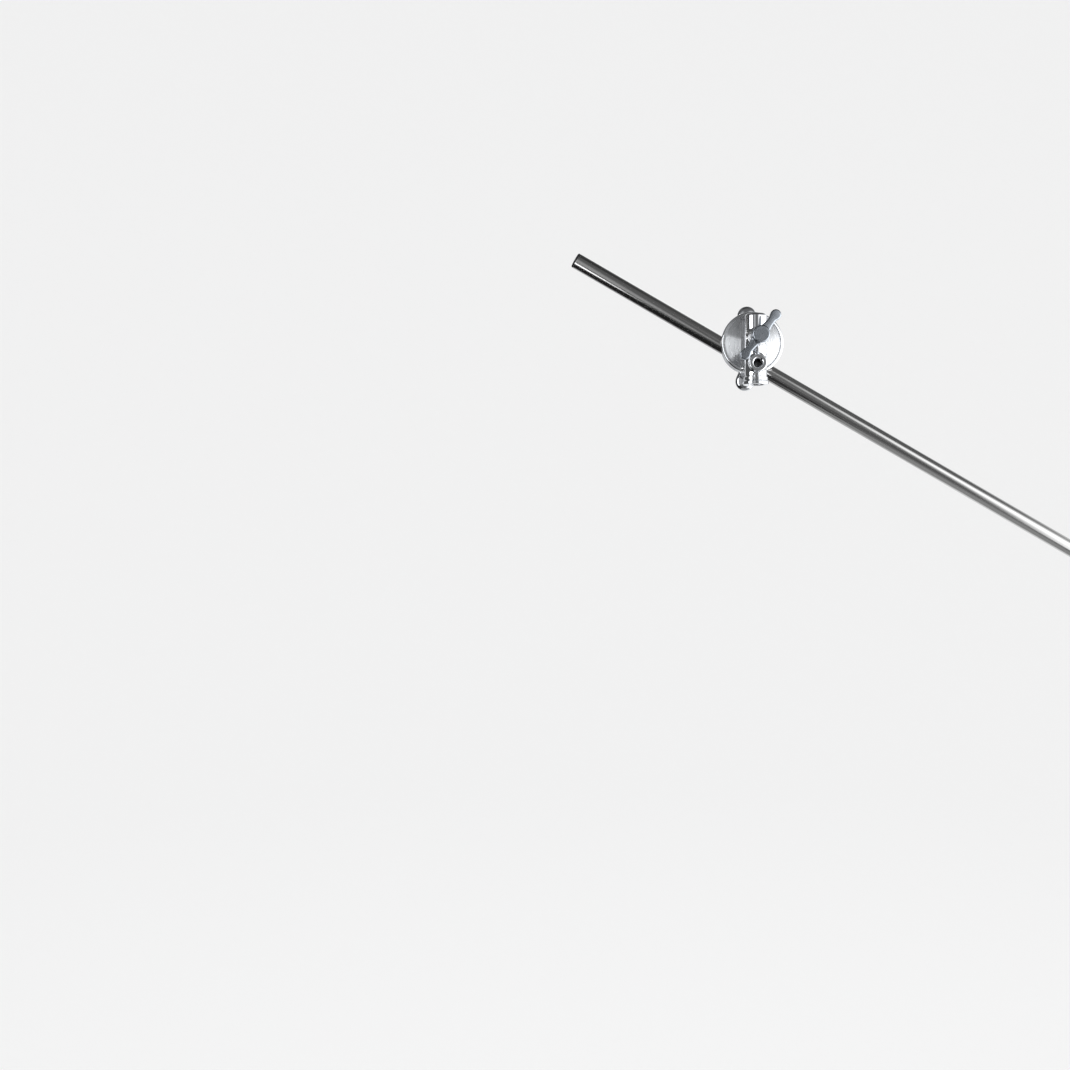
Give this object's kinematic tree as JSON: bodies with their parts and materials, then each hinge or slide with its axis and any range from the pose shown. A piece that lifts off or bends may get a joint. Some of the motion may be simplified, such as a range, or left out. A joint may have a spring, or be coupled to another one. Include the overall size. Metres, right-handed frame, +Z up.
{
  "type": "overhead boom arm",
  "caption": "Straight steel boom arm held by a pivoting round clamp head that drops on a light stand's stud and locks with a T-handle.",
  "frame": {"origin": "centre of the receiver's socket mouth, where a stand's stud goes in", "axes": "+X to the right as seen from the small T-handle's side, +Y along the head's pivot away from that side, +Z up along the socket's axis"},
  "size_m": [0.8853, 0.116, 0.5241],
  "materials": {
    "polished_casting": "polished cast alloy, mirror-like",
    "jaw_plate": "polished rim, turned faces",
    "handle_casting": "tumbled cast alloy, satin",
    "clamp_handle_casting": "polished cast alloy",
    "arm_steel": "drawn stainless tube, polished lengthwise",
    "plated_steel": "bright zinc plate",
    "bronze": "sintered bronze",
    "friction_fibre": "pressed fibre",
    "plug_plastic": "moulded plastic, fine grain"
  },
  "bodies": {
    "receiver": {"receiver_body": "polished_casting", "main_stud": "plated_steel", "stud_pin": "plated_steel", "stud_end_nut": "plated_steel", "friction_disc": "friction_fibre"},
    "jaw_front": {"jaw_front_plate": "jaw_plate", "jaw_guide_pin_front": "plated_steel", "jaw_guide_pin_rear": "plated_steel", "jaw_spring": "plated_steel"},
    "jaw_rear": {"jaw_rear_plate": "jaw_plate"},
    "clamp_washers": {"bearing_washer": "bronze", "thrust_washer": "plated_steel"},
    "clamp_handle": {"clamp_handle": "clamp_handle_casting", "clamp_handle_insert": "plated_steel"},
    "lock_pad": {"lock_pad": "bronze"},
    "lock_screw": {"lock_screw": "plated_steel", "lock_handle": "handle_casting"},
    "arm": {"arm_tube": "arm_steel", "arm_front_plug": "plug_plastic", "arm_rear_plug": "plug_plastic"}
  },
  "joints": [
    {"name": "arm_tilt", "type": "hinge", "parent": "receiver", "child": "jaw_front", "pos_m": [0, 0.03, 0.045], "axis": [0, 1, 0], "continuous": true},
    {"name": "arm_slide", "type": "slide", "parent": "jaw_front", "child": "arm", "axis": [-0.8643, 0, 0.503], "range_m": [-0.165, 0.78]},
    {"name": "jaw_open", "type": "slide", "parent": "jaw_front", "child": "jaw_rear", "axis": [0, 1, 0], "range_m": [0, 0.0031], "deforming": ["jaw_spring"]},
    {"name": "clamp_travel", "type": "slide", "parent": "receiver", "child": "clamp_washers", "axis": [0, 1, 0], "range_m": [0, 0.003]},
    {"name": "clamp_handle_turn", "type": "hinge", "parent": "clamp_washers", "child": "clamp_handle", "pos_m": [0, 0.06, 0.045], "axis": [0, 1, 0], "range_deg": [0, 721]},
    {"name": "lock_travel", "type": "slide", "parent": "receiver", "child": "lock_pad", "axis": [0, -1, 0], "range_m": [-0.00125, 0.006]},
    {"name": "lock_screw_turn", "type": "hinge", "parent": "lock_pad", "child": "lock_screw", "pos_m": [0, -0.03, 0.0464], "axis": [0, -1, 0], "range_deg": [-301, 1441]}
  ],
  "couplings": [
    {"joint": "clamp_handle_turn", "follows": "clamp_travel", "rad_per_m": 4188.8},
    {"joint": "jaw_open", "follows": "clamp_travel", "ratio": 1},
    {"joint": "lock_screw_turn", "follows": "lock_travel", "rad_per_m": 4188.8}
  ]
}
